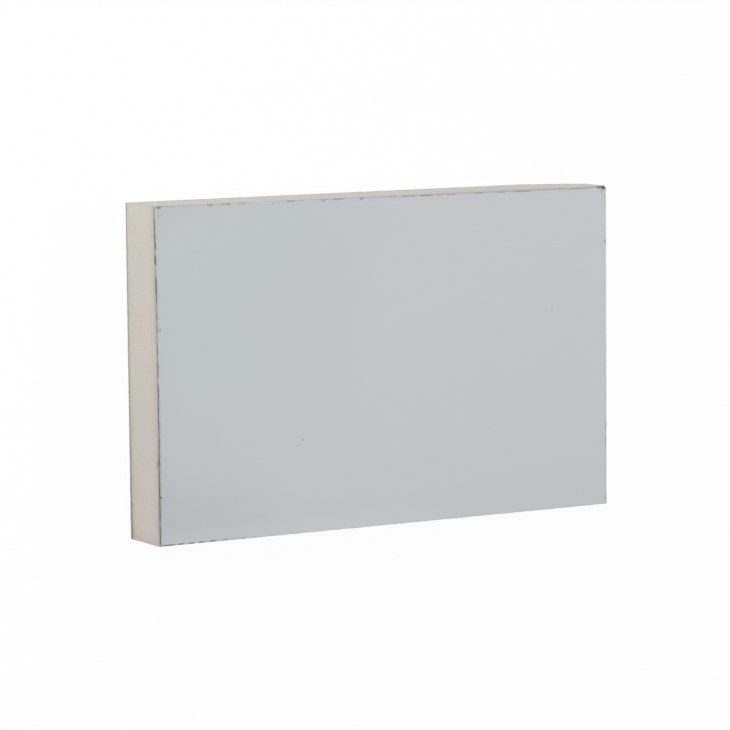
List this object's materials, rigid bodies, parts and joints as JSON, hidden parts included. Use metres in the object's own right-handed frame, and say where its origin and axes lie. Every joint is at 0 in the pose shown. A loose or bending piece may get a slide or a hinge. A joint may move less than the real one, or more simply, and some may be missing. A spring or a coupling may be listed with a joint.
{
  "type": "insulated sandwich panel sample block",
  "caption": "Flat rectangular block of insulated facade panel: two thin painted steel sheets bonded to a rigid foam core, hand sawn on all four edges.",
  "frame": {"origin": "middle of the rear facing's outer face, on which the block lies", "axes": "+Z out of the front facing, through the thickness; +X along the longer side, to the right in the picture; +Y up in the picture"},
  "size_m": [0.304, 0.1962, 0.04],
  "materials": {
    "painted_facing": "pale blue-grey satin coil coating on galvanised steel, bare and rusty on the sawn edges",
    "foam": "matt, fine closed-cell rigid foam, cream on the sawn faces"
  },
  "bodies": {
    "root": {"front_facing": "painted_facing", "foam_core": "foam", "rear_facing": "painted_facing"}
  },
  "joints": []
}
